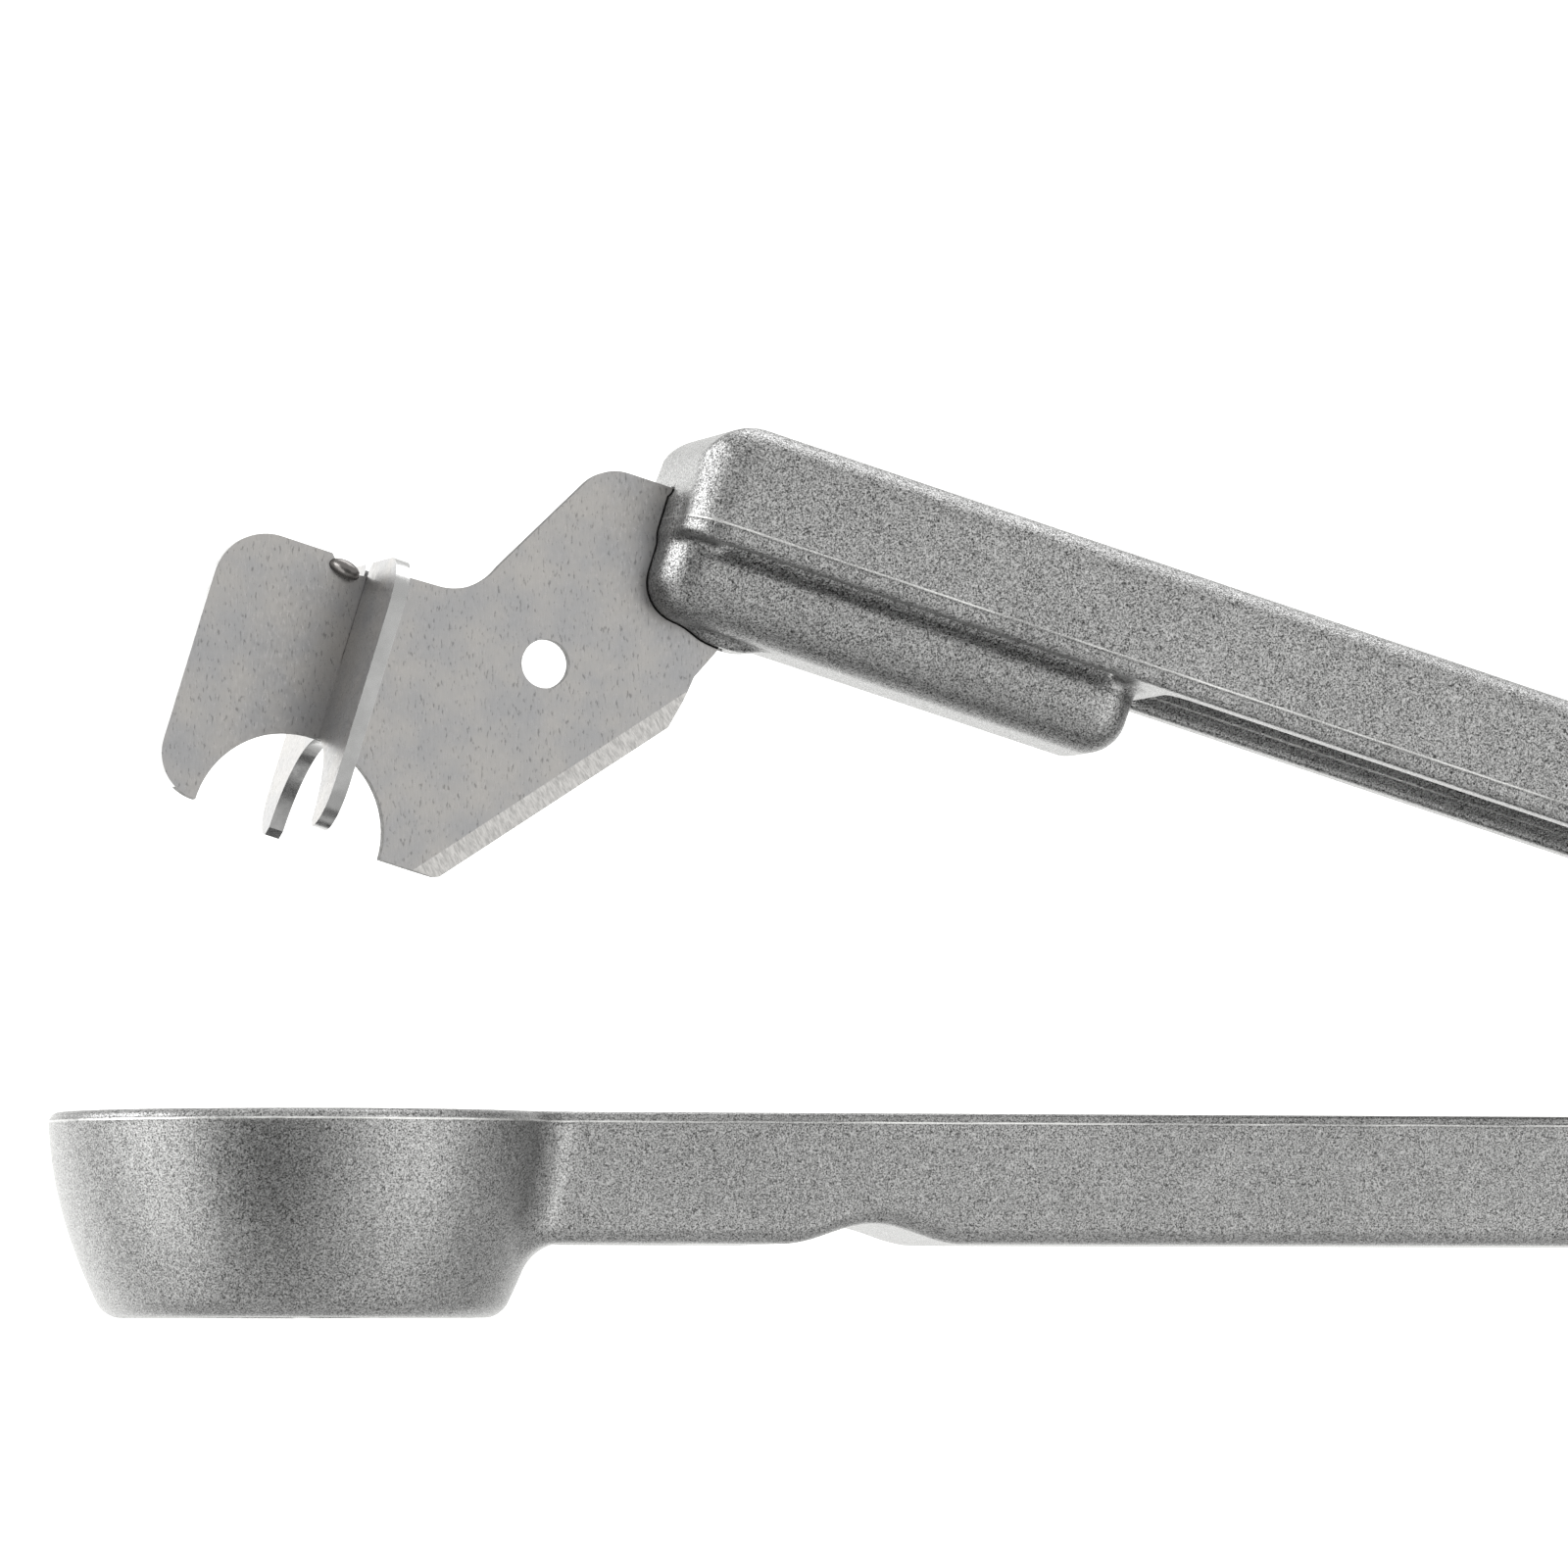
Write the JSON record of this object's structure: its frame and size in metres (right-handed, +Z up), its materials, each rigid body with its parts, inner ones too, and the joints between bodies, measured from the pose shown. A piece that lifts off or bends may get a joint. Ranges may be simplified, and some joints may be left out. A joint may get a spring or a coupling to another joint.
{
  "type": "plum stoner",
  "caption": "Hand-held plum stoner and quarterer: die-cast arms on a sprung hinge, a slotted fruit cup below and a stainless cross blade above.",
  "frame": {"origin": "centre of the bounding box at the level of the underside of the cup", "axes": "+X from the cup towards the hinge, +Z up out of the cup, Y along the hinge pin"},
  "size_m": [0.1906, 0.037, 0.065],
  "materials": {
    "casting": "silver-grey sparkling coating on a die casting",
    "stainless_plate": "satin rolled stainless sheet with ground edges",
    "plated_steel": "bright zinc-plated rivet steel",
    "spring_wire": "drawn spring wire"
  },
  "bodies": {
    "lower": {"lower_arm": "casting", "pivot_pin": "plated_steel", "pivot_washer": "plated_steel", "torsion_spring": "spring_wire"},
    "upper": {"upper_arm": "casting", "main_blade": "stainless_plate", "cross_blade": "stainless_plate"}
  },
  "joints": [
    {"name": "arm_hinge", "type": "hinge", "parent": "lower", "child": "upper", "pos_m": [0.08605, 0, 0.01495], "axis": [0, 1, 0], "range_deg": [-17.2, 8], "stiffness_Nm_per_rad": 0.25, "springref_deg": 20.05, "deforming": ["torsion_spring"]}
  ]
}
